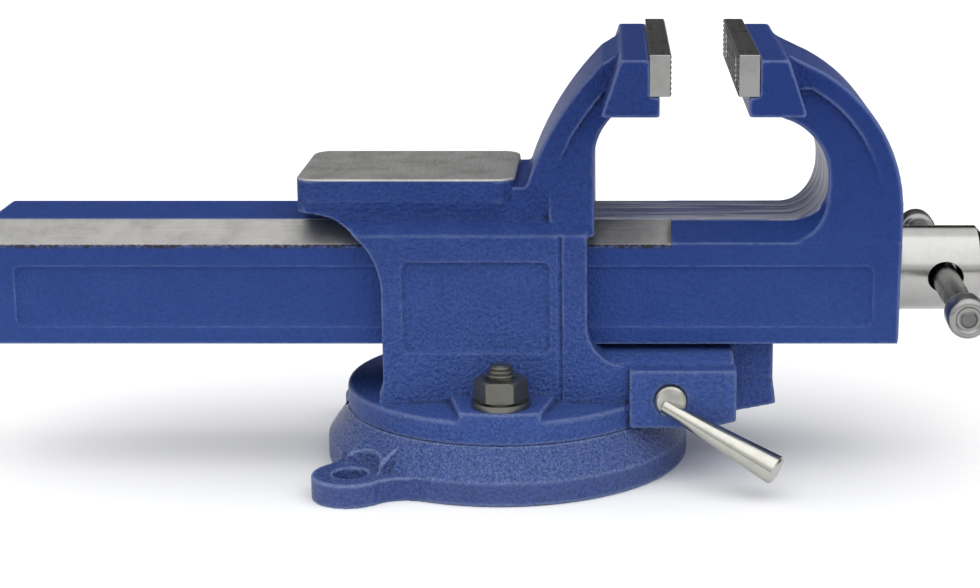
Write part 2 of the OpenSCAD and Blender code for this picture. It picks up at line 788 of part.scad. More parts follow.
// Compression spring under the half nut, wound as one tube with flat dead ends
spring_turns = 7;
module half_nut_spring() {
    sides = 6;
    rings = 8 * spring_turns;
    coil_r = (spring_d - spring_wire) / 2;
    rise = spring_top - spring_floor - spring_wire - 2 * press_fit;
    points = [for (i = [0:rings], k = [0:sides - 1])
        let (a = 360 * spring_turns * i / rings, b = 360 * k / sides, r = coil_r + spring_wire / 2 * cos(b))
        [r * cos(a), r * sin(a), spring_wire / 2 * (1 + sin(b)) + rise * i / rings]];
    walls = [for (i = [0:rings - 1], k = [0:sides - 1])
        let (p = i * sides + k, q = i * sides + (k + 1) % sides)
        each [[p, q, p + sides], [q, q + sides, p + sides]]];
    last = rings * sides;
    ends = [for (k = [1:sides - 2]) each [[0, k + 1, k], [last, last + k, last + k + 1]]];
    echo(coil_gap = rise / spring_turns - spring_wire);
    color(bare) translate([spring_x, 0, spring_floor]) polyhedron(points, concat(walls, ends));
}

// Places its children on the lever arm's axis, from the low side of the shaft's end face
module on_lever() {
    aside = arm_drop * 0.385;
    translate([shaft_x + aside, -cheek_half - shaft_proud, shaft_z - arm_drop])
        rotate([0, 90 + arm_droop, 0]) rotate([arm_lean, 0, 0]) children();
}

// Cross shaft with its eccentric journal inside the half nut's window
module lever_shaft() {
    web = nut_half_w + 2 * slide_fit;
    end = -cheek_half - shaft_proud;
    chamfer = 1;
    color(bare) difference() {
        union() {
            cross_bar(shaft_x, end + chamfer, shaft_shoulder + cut, shaft_z, shaft_end_d);
            translate([shaft_x, end, shaft_z]) rotate([-90, 0, 0])
                cylinder(h = chamfer, d1 = shaft_end_d - 2 * chamfer, d2 = shaft_end_d);
            cross_bar(shaft_x, shaft_shoulder, -web, shaft_z, shaft_d);
            cross_bar(pin_x, -web - cut, web + cut, pin_z, journal_pin_d);
            cross_bar(shaft_x, web, shaft_back - clip_w, shaft_z, shaft_d);
        }
        on_lever() translate([0, 0, -arm_seat])
            cylinder(h = arm_seat + shaft_end_d, d = arm_root_d + 2 * press_fit);
    }
}

// Lever arm, pressed into the shaft's end face and tapered out to a chamfered tip
module lever_arm() {
    stub = 2;
    tip = 1.2;
    color(bare) on_lever() {
        translate([0, 0, -arm_seat]) cylinder(h = arm_seat + stub, d = arm_root_d);
        translate([0, 0, stub]) cylinder(h = arm_l - stub - tip, d1 = arm_root_d, d2 = arm_end_d);
        translate([0, 0, arm_l - tip]) cylinder(h = tip, d1 = arm_end_d, d2 = arm_end_d - 2 * tip);
    }
}

// Open ring that snaps into the groove behind the lever shaft
module shaft_circlip() {
    ring_t = 1.6;
    color(oxide) translate([shaft_x, shaft_back - 0.6, shaft_z]) rotate([90, 0, 0]) difference() {
        cylinder(h = ring_t, d = shaft_d + 1.4);
        translate([0, 0, -cut]) cylinder(h = ring_t + 2 * cut, d = shaft_d - 4);
        translate([-2, 0, -cut]) cube([4, shaft_d, ring_t + 2 * cut]);
    }
}

// Side view of the goose-neck arm that carries the moving jaw
moving_arm_r = 82.6;
moving_throat_r = 30.8;
knee_rise = 5.8;
throat_offset = [7.3, 36.8];
moving_arm_knee = [slide_front - moving_arm_r, slide_top + knee_rise];
moving_throat = [moving_seat + throat_offset[0], block_z0 - throat_offset[1]];
heel_r = 20.2;
heel = [moving_throat[0] + moving_throat_r - heel_r, slide_top + heel_r];
module moving_arm_outline() {
    edge = 1;
    sweep = 75;
    arm_end = asin((block_z1 - arm_end_drop - moving_arm_knee[1]) / moving_arm_r);
    polygon(concat(
        [[slide_front - front_draft, slide_floor]],
        arc(moving_arm_knee, moving_arm_r, 0, arm_end),
        [[moving_seat + block_top, block_z1 - edge], [moving_seat, block_z0 + edge], [moving_seat, block_z0]],
        arc(moving_throat, moving_throat_r, sweep, 0),
        arc(heel, heel_r, 0, -90),
        [[heel[0], slide_floor]]
    ));
}

// Part of the moving arm inside its raised rim
module moving_arm_web() {
    intersection() {
        moving_arm_outline();
        translate(moving_arm_knee) circle(moving_arm_r - rim_w, $fn = 128);
    }
}

// Hollow curve in plan that spreads the top of the slide to the width of the arm
module heel_flare() {
    length = 16;
    sink = 2;
    foot_half = slide_top_half + cast_step / 2;
    translate([0, 0, guide_foot]) linear_extrude(slide_top - guide_foot) polygon(concat(
        [[heel[0] + sink, sink - foot_half], [heel[0] - length, sink - foot_half]],
        bend([heel[0] - length, -foot_half], [heel[0], -foot_half], [heel[0], -arm_half]),
        [[heel[0] + sink, -arm_half]]
    ));
}

// Slide, arm and jaw block, cast in one piece
module moving_jaw() {
    skirt = 10;
    core_chamfer = 8;
    seat_t = 6;
    seat_rim = 1;
    web_rise = 12;
    side_depth = 1.4;
    side_x = [-slide_rear + 16, slide_front - 15];
    side_z = [slide_floor + 9.5, guide_foot - 10.8];
    side_r = 3;
    color(paint) difference() {
        union() {
            along(-slide_rear, slide_front - front_draft) slide_section();
            along(guide_end, slide_front - front_draft) polygon([
                [-slide_half, slide_floor + skirt], [-slide_half, guide_foot + cast_step],
                [-slide_top_half - cast_step / 2, slide_top], [slide_top_half + cast_step / 2, slide_top],
                [slide_half, guide_foot + cast_step], [slide_half, slide_floor + skirt]
            ]);
            across(2 * arm_half) moving_arm_outline();
            both_sides() heel_flare();
            screw_bar(slide_front - seat_t, slide_front, thrust_d + 2 * seat_rim);
            jaw_block(moving_seat, -1);
        }
        // Hollow of the slide, open below and at its rear end
        along(-slide_rear - cut, wall_x) polygon([
            [-channel_half, slide_floor - cut], [-channel_half, channel_top - core_chamfer],
            [-channel_half + core_chamfer, channel_top], [channel_half - core_chamfer, channel_top],
            [channel_half, channel_top - core_chamfer], [channel_half, slide_floor - cut]
        ]);
        // Web of the arm and shallow side panels
        both_sides() {
            web_hollow(arm_half, slide_top + web_rise) moving_arm_web();
            translate([0, -slide_half + side_depth, 0]) rotate([90, 0, 0]) linear_extrude(side_depth + cut)
                rounded([side_x[0], side_z[0]], [side_x[1], side_z[1]], side_r);
        }
        plate_screw_bores(moving_seat, -1);
        screw_bar(wall_x - cut, slide_front + cut, journal_d + 2 * run_fit);
    }
}

module moving_jaw_plate() {
    color(bare) jaw_plate(moving_seat, -1);
}

module moving_jaw_screws() {
    color(oxide) jaw_plate_screws(moving_seat, -1);
}

// Places its children on the handle axis, with Z along the bar
module on_handle() {
    translate([handle_x, 0, screw_z]) rotate([handle_turn - 90, 0, 0]) children();
}

// Screw, plain journal and turned boss in one piece, drilled for the handle and the roll pin
collar_x = wall_x - slide_fit - collar_l;
module main_screw() {
    lead_in = 2;
    chamfer = 2.5;
    hole_d = bar_d + 2 * bar_play;
    color(bare) difference() {
        union() {
            screw_bar(-screw_rear, -screw_rear + lead_in, screw_d - 2 * lead_in, screw_d);
            screw_bar(-screw_rear + lead_in, collar_x, screw_d);
            screw_bar(collar_x - lead_in, boss_x, journal_d);
            screw_bar(boss_x, boss_end - chamfer, boss_d);
            screw_bar(boss_end - chamfer, boss_end, boss_d, boss_d - 2 * chamfer);
        }
        on_handle() {
            translate([0, 0, -boss_d]) cylinder(h = 2 * boss_d, d = hole_d);
            for (m = [0, 1]) mirror([0, 0, m]) translate([0, 0, boss_d / 2 - chamfer])
                cylinder(h = chamfer + cut, d1 = hole_d - bar_play, d2 = hole_d + chamfer + cut);
        }
        translate([collar_x + collar_l / 2, 0, screw_z - collar_d])
            cylinder(h = 2 * collar_d, d = collar_pin_d + 2 * press_fit);
    }
}

module thrust_washer() {
    color(ground) difference() {
        screw_bar(slide_front, boss_x, thrust_d);
        screw_bar(slide_front - cut, boss_x + cut, journal_d + 2 * free_fit);
    }
}

module retaining_collar() {
    color(ground) difference() {
        screw_bar(collar_x, collar_x + collar_l, collar_d);
        screw_bar(collar_x - cut, collar_x + collar_l + cut, journal_d + 2 * press_fit);
        translate([collar_x + collar_l / 2, 0, screw_z - collar_d])
            cylinder(h = 2 * collar_d, d = collar_pin_d + 2 * press_fit);
    }
}

module collar_pin() {
    pin_l = collar_d - 1;
    color(oxide) translate([collar_x + collar_l / 2, 0, screw_z - pin_l / 2])
        cylinder(h = pin_l, d = collar_pin_d);
}

// Places its children on the axis of the bar, which lies low in its hole
module on_bar() {
    translate([0, 0, free_fit - bar_play]) on_handle() children();
}

module handle_bar() {
    color(bare) on_bar() {
        translate([0, 0, -bar_l / 2]) cylinder(h = bar_l, d = tenon_d);
        translate([0, 0, knob_l - bar_l / 2]) cylinder(h = bar_l - 2 * knob_l, d = bar_d);
    }
}

// Knob with rounded edges, riveted on one end of the bar
module handle_knob(side) {
    edge = 3;
    mid = knob_d / 2 - edge;
    color(bare) on_bar() mirror([0, 0, side > 0 ? 0 : 1]) translate([0, 0, bar_l / 2 - knob_l])
        rotate_extrude() difference() {
            union() {
                translate([0, edge]) square([knob_d / 2, knob_l - 2 * edge]);
                square([mid, knob_l]);
                for (z = [edge, knob_l - edge]) translate([mid, z]) circle(edge);
            }
            translate([-knob_d, -cut]) square([knob_d + tenon_d / 2 + press_fit, knob_l + 2 * cut]);
        }
}

module handle_knob_near() {
    handle_knob(-1);
}

module handle_knob_far() {
    handle_knob(1);
}

swivel_base();
fixed_body();
lock_bolts();
lock_washers();
front_lock_nut();
back_lock_nut();
fixed_jaw_plate();
fixed_jaw_screws();
half_nut();
half_nut_spring();
lever_shaft();
lever_arm();
shaft_circlip();
moving_jaw();
moving_jaw_plate();
moving_jaw_screws();
main_screw();
thrust_washer();
retaining_collar();
collar_pin();
handle_bar();
handle_knob_near();
handle_knob_far();
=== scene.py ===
"""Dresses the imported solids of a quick-release bench vise.

The castings get softened edges and enamel, the jaw plates their serrated faces, the screw and the
studs their threads, and each bare piece the marks of the machine that made it.
"""

import logging
import math
from dataclasses import dataclass
from enum import Enum
from typing import Sequence

import bpy
from mathutils import Matrix, Vector


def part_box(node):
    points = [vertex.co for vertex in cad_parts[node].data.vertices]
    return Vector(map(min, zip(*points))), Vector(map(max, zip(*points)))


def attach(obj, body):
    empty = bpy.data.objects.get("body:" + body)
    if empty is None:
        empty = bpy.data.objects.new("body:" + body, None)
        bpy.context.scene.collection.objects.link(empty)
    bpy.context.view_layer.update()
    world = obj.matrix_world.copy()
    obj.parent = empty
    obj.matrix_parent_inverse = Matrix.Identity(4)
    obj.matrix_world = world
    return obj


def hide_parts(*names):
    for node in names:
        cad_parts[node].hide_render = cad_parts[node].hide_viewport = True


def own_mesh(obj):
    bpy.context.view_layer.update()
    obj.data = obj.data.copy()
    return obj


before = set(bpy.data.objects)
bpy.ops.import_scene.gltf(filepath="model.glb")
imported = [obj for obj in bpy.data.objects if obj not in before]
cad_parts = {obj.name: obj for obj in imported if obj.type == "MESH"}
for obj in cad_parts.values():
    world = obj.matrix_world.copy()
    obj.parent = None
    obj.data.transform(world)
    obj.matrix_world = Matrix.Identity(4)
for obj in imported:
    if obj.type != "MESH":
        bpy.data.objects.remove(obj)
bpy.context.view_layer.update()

MM = 0.001
WELD = 1e-6
FULL_TURN = 2 * math.pi

# The hollow corner where the moving jaw's throat meets its slide: centre in X and Z, and radius
HEEL = (145.5 * MM, 152.0 * MM)
HEEL_R = 20.2 * MM

Colour = tuple[float, float, float]
Point = tuple[float, float, float]

log = logging.getLogger("vise")


class Sock:
    """A value in a node tree, on which Python's operators add Math nodes."""

    def __init__(self, tree: "Tree", socket: bpy.types.NodeSocket) -> None:
        """Keeps the socket and the tree that it belongs to."""
        self.tree = tree
        self.socket = socket

    def math(self, operation: str, first: "Sock | float", second: "Sock | float") -> "Sock":
        """Adds one Math node.

        Args:
            operation: Blender's name of the operation.
            first: First operand.
            second: Second operand.

        Returns:
            The node's result.
        """
        return self.tree.node("Math", {"operation": operation}, {0: first, 1: second})

    def __add__(self, other: "Sock | float") -> "Sock":
        """Sum."""
        return self.math("ADD", self, other)

    def __radd__(self, other: float) -> "Sock":
        """Sum with a number on the left."""
        return self.math("ADD", other, self)

    def __sub__(self, other: "Sock | float") -> "Sock":
        """Difference."""
        return self.math("SUBTRACT", self, other)

    def __rsub__(self, other: float) -> "Sock":
        """Difference from a number on the left."""
        return self.math("SUBTRACT", other, self)

    def __mul__(self, other: "Sock | float") -> "Sock":
        """Product."""
        return self.math("MULTIPLY", self, other)

    def __rmul__(self, other: float) -> "Sock":
        """Product with a number on the left."""
        return self.math("MULTIPLY", other, self)

    def __pow__(self, other: float) -> "Sock":
        """Power."""
        return self.math("POWER", self, other)

    def ramp(self, low: float, high: float) -> "Sock":
        """Rises smoothly from 0 at low to 1 at high.

        Args:
            low: Value that gives 0.
            high: Value that gives 1.

        Returns:
            The ramped value.
        """
        settings = {"interpolation_type": "SMOOTHSTEP"}
        return self.tree.node("MapRange", settings, {"Value": self, "From Min": low, "From Max": high})


class Tree:
    """The node tree of one material or of the world."""

    def __init__(self, tree: bpy.types.NodeTree) -> None:
        """Empties the tree."""
        self.nodes = tree.nodes
        self.links = tree.links
        self.nodes.clear()

    def node(
        self,
        kind: str,
        settings: dict[str, object] | None = None,
        inputs: dict[str | int, object] | None = None,
        output: str | int = 0,
    ) -> Sock:
        """Adds a node of any kind.

        Args:
            kind: Node type, without Blender's ShaderNode in front.
            settings: Attributes of the node, set before its sockets.
            inputs: Values or links of its sockets, by name or index.
            output: The output that is wanted.

        Returns:
            That output.
        """
        made = self.nodes.new("ShaderNode" + kind)
        for name, value in (settings or {}).items():
            setattr(made, name, value)
        for key, value in (inputs or {}).items():
            if isinstance(value, Sock):
                self.links.new(value.socket, made.inputs[key])
            else:
                made.inputs[key].default_value = value
        return Sock(self, made.outputs[output])

    def place(self) -> Sock:
        """The point on the piece, in its own coordinates."""
        return self.node("TexCoord", output="Object")

    def parts(self, vector: Sock) -> list[Sock]:
        """The three parts of a vector."""
        split = self.node("SeparateXYZ", inputs={0: vector}).socket.node
        return [Sock(self, out) for out in split.outputs]

    def vector(self, operation: str, first: object, second: object, output: str = "Vector") -> Sock:
        """Adds one Vector Math node and returns its vector, or the value where output asks for that."""
        return self.node("VectorMath", {"operation": operation}, {0: first, 1: second}, output)

    def noise(self, place: Sock, scale: float, detail: float = 3.0, rough: float = 0.55) -> Sock:
        """Adds noise in space.

        Args:
            place: Point to read it at.
            scale: Lumps per metre.
            detail: Number of finer layers.
            rough: Weight of the finer layers.

        Returns:
            Values about 0.5.
        """
        inputs = {"Vector": place, "Scale": scale, "Detail": detail, "Roughness": rough}
        return self.node("TexNoise", inputs=inputs)

    def lines(self, along: Sock, scale: float, detail: float = 3.0) -> Sock:
        """Adds noise on one value, so that it draws lines of many widths."""
        inputs = {"W": along, "Scale": scale, "Detail": detail, "Roughness": 0.7}
        return self.node("TexNoise", {"noise_dimensions": "1D"}, inputs)

    def mix(self, share: "Sock | float", first: object, second: object) -> Sock:
        """Mixes two colours.

        Args:
            share: Share of the second colour.
            first: Colour or link.
            second: Colour or link.

        Returns:
            The mixed colour.
        """
        sides = [(*side, 1.0) if isinstance(side, tuple) else side for side in (first, second)]
        return self.node("Mix", {"data_type": "RGBA"}, {0: share, 6: sides[0], 7: sides[1]}, 2)

    def bump(self, height: Sock, depth: float, strength: float, normal: Sock | None = None) -> Sock:
        """Adds a bump.

        Args:
            height: Height of the surface, from 0 to 1.
            depth: Depth of that range in metres.
            strength: Share of the bump that shows.
            normal: Normal to start from.

        Returns:
            The bumped normal.
        """
        inputs: dict[str | int, object] = {"Strength": strength, "Distance": depth, "Height": height}
        if normal is not None:
            inputs["Normal"] = normal
        return self.node("Bump", inputs=inputs)

    def close(self, shader: Sock, kind: str = "OutputMaterial") -> None:
        """Feeds a shader to a new output node of the tree."""
        made = self.nodes.new("ShaderNode" + kind)
        self.links.new(shader.socket, made.inputs["Surface"])


@dataclass(frozen=True)
class Finish:
    """A finish by name, made into a material the first time that a piece needs it."""

    name: str

    def material(self) -> bpy.types.Material:
        """The material of this finish."""
        made = bpy.data.materials.get(self.name)
        if made is None:
            made = bpy.data.materials.new(self.name)
            made.use_nodes = True
            tree = Tree(made.node_tree)
            tree.close(self.shader(tree))
        return made

    def shader(self, tree: Tree) -> Sock:
        """Builds the shader in a tree and returns it."""
        raise NotImplementedError


@dataclass(frozen=True)
class Zone:
    """A box on a casting where the finish differs, with the widths over which it fades at either end."""

    low: Point
    high: Point
    low_edge: Point = (0.4 * MM, 0.4 * MM, 0.4 * MM)
    high_edge: Point = (0.4 * MM, 0.4 * MM, 0.4 * MM)

    def mask(self, tree: Tree, place: Sock) -> Sock:
        """Masks the box.

        Args:
            tree: Tree to add to.
            place: Point on the piece.

        Returns:
            1 inside the box and 0 outside.
        """
        mask: Sock | None = None
        sides = zip(tree.parts(place), self.low, self.high, self.low_edge, self.high_edge)
        for value, low, high, before, after in sides:
            inside = value.ramp(low - before, low) * (1 - value.ramp(high, high + after))
            mask = inside if mask is None else mask * inside
        return mask


@dataclass(frozen=True)
class Corner:
    """The metal behind the skin of a hollow corner that runs across a casting."""

    centre: tuple[float, float]
    radius: float
    edge: float = 0.4 * MM

    def mask(self, tree: Tree, place: Sock) -> Sock:
        """Masks what lies in front of the corner's centre and below it, outside its radius.

        Args:
            tree: Tree to add to.
            place: Point on the piece.

        Returns:
            1 in that place and 0 elsewhere.
        """
        along, _, height = tree.parts(place)
        ahead = along - self.centre[0]
        below = self.centre[1] - height
        out = (ahead * ahead + below * below) ** 0.5
        past = out.ramp(self.radius + self.edge, self.radius + 3 * self.edge)
        return past * ahead.ramp(-self.edge, self.edge) * below.ramp(-self.edge, self.edge)


# Lumps per metre of the castings' skin, from the broadest to the finest
BROAD = 45
SAND = 480
GRIT = 950
FINE = 1700

# Where painted shade darkens the enamel high up (in metres), where it is pitted, where painted glints and
# painted edge highlights (partly edge wear) lighten it, and where painted shade darkens hollows
SHADE_RISE = (0.03, 0.20)
SHADE_WANDER = 0.06
PIT_RANGE = (0.34, 0.60)
PIT_TONE = 0.3
GLINT_RANGE = (0.38, 0.72)
EDGE_RANGE = (0.503, 0.535)
EDGE_SHARE = 0.55
HOLLOW_RANGE = (0.44, 0.492)
HOLLOW_SHARE = 0.75


@dataclass(frozen=True)
class Enamel(Finish):
    """Enamel on sand-cast iron, which may be machined bare in one place and carry painted reflection
    streaks in another.
    """

    colour: Colour = (0.033, 0.078, 0.305)
    # Painted shade: the darker colour that the enamel is mixed towards with height
    shade: Colour = (0.0090, 0.033, 0.178)
    # Colour of the painted glints and of the painted edge highlights, which stand partly for edge wear
    worn: Colour = (0.150, 0.200, 0.400)
    # Colour of the painted reflection streaks
    reflection_tint: Colour = (0.50, 0.51, 0.56)
    steel: Colour = (0.36, 0.36, 0.355)
    # Colour of real grime along the guide edges, and of the painted shade in hollows
    grime_and_crease_shade: Colour = (0.020, 0.017, 0.022)
    gloss: float = 0.36
    sheen: float = 0.22
    peel: float = 0.4 * MM
    # Share of painted glints: light flecks standing in for light sparkling on the enamel
    glints: float = 0.30
    # Height below which the painted glints fade out, so that the faces above it look more lit
    crest: float = 0.0
    mottle: float = 0.12
    bare: Zone | None = None
    grimy: Zone | None = None
    # Box that carries the painted reflection streaks
    reflection_zone: Zone | None = None
    spared: Corner | None = None
    grind: Point = (30.0, 1800.0, 1800.0)
    sweep: Point = (12.0, 260.0, 12.0)

    def shader(self, tree: Tree) -> Sock:
        """Builds the enamel over the casting's skin, with painted shade and painted highlights on it, and
        the ground metal where it is bare.
        """
        place = tree.place()
        height = tree.parts(place)[2]
        broad = tree.noise(place, BROAD, 3)
        sand = tree.noise(place, SAND, 2, 0.5)
        fine = tree.noise(place, FINE, 2)
        # Painted shade: darker with height, standing in for the light from the floor that fades higher up
        painted_shade_share = (height + SHADE_WANDER * (broad - 0.5)).ramp(*SHADE_RISE)
        tone = tree.mix(painted_shade_share, self.colour, self.shade)
        pits = (1 - sand.ramp(*PIT_RANGE)) * self.mottle
        tone = tree.mix(pits, tone, tuple(PIT_TONE * part for part in self.shade))
        point = tree.node("NewGeometry", output="Pointiness")
        above = height.ramp(self.crest - MM, self.crest + MM)
        # Painted glints, fading with the painted shade and below a height, and painted highlights on sharp
        # edges found by pointiness, partly edge wear
        glint_noise = tree.noise(place, GRIT, 2, 0.5).ramp(*GLINT_RANGE)
        glints_and_edge_light = glint_noise * (1 - painted_shade_share) * above * self.glints + point.ramp(*EDGE_RANGE) * EDGE_SHARE
        tone = tree.mix(glints_and_edge_light, tone, self.worn)
        # Painted shade in hollows: concave edges, found by pointiness, are darkened
        tone = tree.mix(HOLLOW_SHARE - HOLLOW_SHARE * point.ramp(*HOLLOW_RANGE), tone, self.grime_and_crease_shade)
        dull = self.gloss + 0.14 * (sand - 0.5) + 0.10 * (broad - 0.5)
        skin = sand * 0.7 + fine * 0.3
        inputs: dict[str | int, object] = {"Specular IOR Level": self.sheen}
        if self.reflection_zone:
            # Painted reflection: light streaks standing in for the bright surroundings mirrored by the
            # throat and the slide's top between the jaws; the heel corner is left without them
            streak = tree.noise(tree.vector("MULTIPLY", place, self.sweep), 1, 4, 0.65)
            share = (0.20 + 0.68 * streak.ramp(0.38, 0.60)) * self.reflection_zone.mask(tree, place)
            if self.spared:
                share = share * (1 - self.spared.mask(tree, place))
            tone = tree.mix(share, tone, self.reflection_tint)
        if self.bare:
            mask = self.bare.mask(tree, place)
            streak = tree.noise(tree.vector("MULTIPLY", place, self.grind), 1, 4, 0.7)
            blot = tree.noise(place, 60, 5, 0.65)
            share = blot.ramp(0.35, 0.75) * 0.45 + streak * 0.35
            steel = tree.mix(share, self.steel, tuple(0.45 * part for part in self.steel))
            tone = tree.mix(mask, tone, steel)
            dull = dull * (1 - mask) + (0.34 + 0.24 * streak) * mask
            skin = skin * (1 - mask) + streak * mask * 0.10
            inputs["Metallic"] = mask
        if self.grimy:
            rag = tree.noise(place, 420, 3, 0.7).ramp(0.30, 0.66)
            tone = tree.mix(self.grimy.mask(tree, place) * rag, tone, self.grime_and_crease_shade)
        inputs |= {"Base Color": tone, "Roughness": dull, "Normal": tree.bump(skin, self.peel, 1.0)}
        return tree.node("BsdfPrincipled", inputs=inputs)


class Grain(Enum):
    """How the marks of a machine lie on bare metal."""

    TURNED = "rings about the axis"
    GROUND = "lines along the axis"
    ROUGH = "no direction"


@dataclass(frozen=True)
class Metal(Finish):
    """Bare or oxidised metal with machining marks."""

    colour: Colour = (0.62, 0.61, 0.59)
    stain: Colour = (0.33, 0.32, 0.30)
    stained: float = 0.35
    roughness: float = 0.28
    metallic: float = 1.0
    grain: Grain = Grain.TURNED
    origin: Point = (0.0, 0.0, 0.0)
    axis: Point = (1.0, 0.0, 0.0)
    pitch: float = 0.5 * MM
    depth: float = 0.03 * MM
    edge: float = 0.35 * MM

    def marks(self, tree: Tree, place: Sock) -> Sock:
        """Draws the machining marks.

        Args:
            tree: Tree to add to.
            place: Point on the piece.

        Returns:
            Height of the surface, from 0 to 1.
        """
        if self.grain is Grain.ROUGH:
            return tree.noise(place, 1 / self.pitch, 4, 0.65)
        arm = tree.vector("SUBTRACT", place, self.origin)
        along = tree.vector("DOT_PRODUCT", arm, self.axis, "Value")
        if self.grain is Grain.TURNED:
            foot = tree.node("VectorMath", {"operation": "SCALE"}, {0: self.axis, "Scale": along})
            out = tree.vector("LENGTH", tree.vector("SUBTRACT", arm, foot), (0, 0, 0), "Value")
            return tree.lines(along + out, 1 / self.pitch)
        stretch = tuple(0.015 if abs(part) > 0.5 else 1.0 for part in self.axis)
        return tree.noise(tree.vector("MULTIPLY", arm, stretch), 1 / self.pitch, 4, 0.7)

    def shader(self, tree: Tree) -> Sock:
        """Builds the metal with its marks, stains and softened edges."""
        place = tree.place()
        marks = self.marks(tree, place)
        blot = tree.noise(place, 90, 4, 0.6)
        fine = tree.noise(place, 900, 3)
        share = blot.ramp(0.40, 0.75) * self.stained + (marks - 0.5) * 0.25
        soft = tree.node("Bevel", {"samples": 6}, {"Radius": self.edge})
        return tree.node("BsdfPrincipled", inputs={
            "Base Color": tree.mix(share, self.colour, self.stain),
            "Metallic": self.metallic,
            "Roughness": self.roughness + 0.14 * (marks - 0.5) + 0.12 * (fine - 0.5) + 0.10 * (blot - 0.5),
            "Normal": tree.bump(marks, self.depth, 0.8, soft),
        })


class Part(Enum):
    """What a selection in edit mode is made of."""

    POINTS = (True, False, False)
    EDGES = (False, True, False)
    FACES = (False, False, True)


@dataclass(frozen=True)
class Axis:
    """A line in space that turned shapes are drawn about."""

    origin: Vector
    direction: Vector

    def frame(self) -> Matrix:
        """The matrix that puts Z along this axis."""
        turn = self.direction.to_track_quat("Z", "Y").to_matrix().to_4x4()
        return Matrix.Translation(self.origin) @ turn


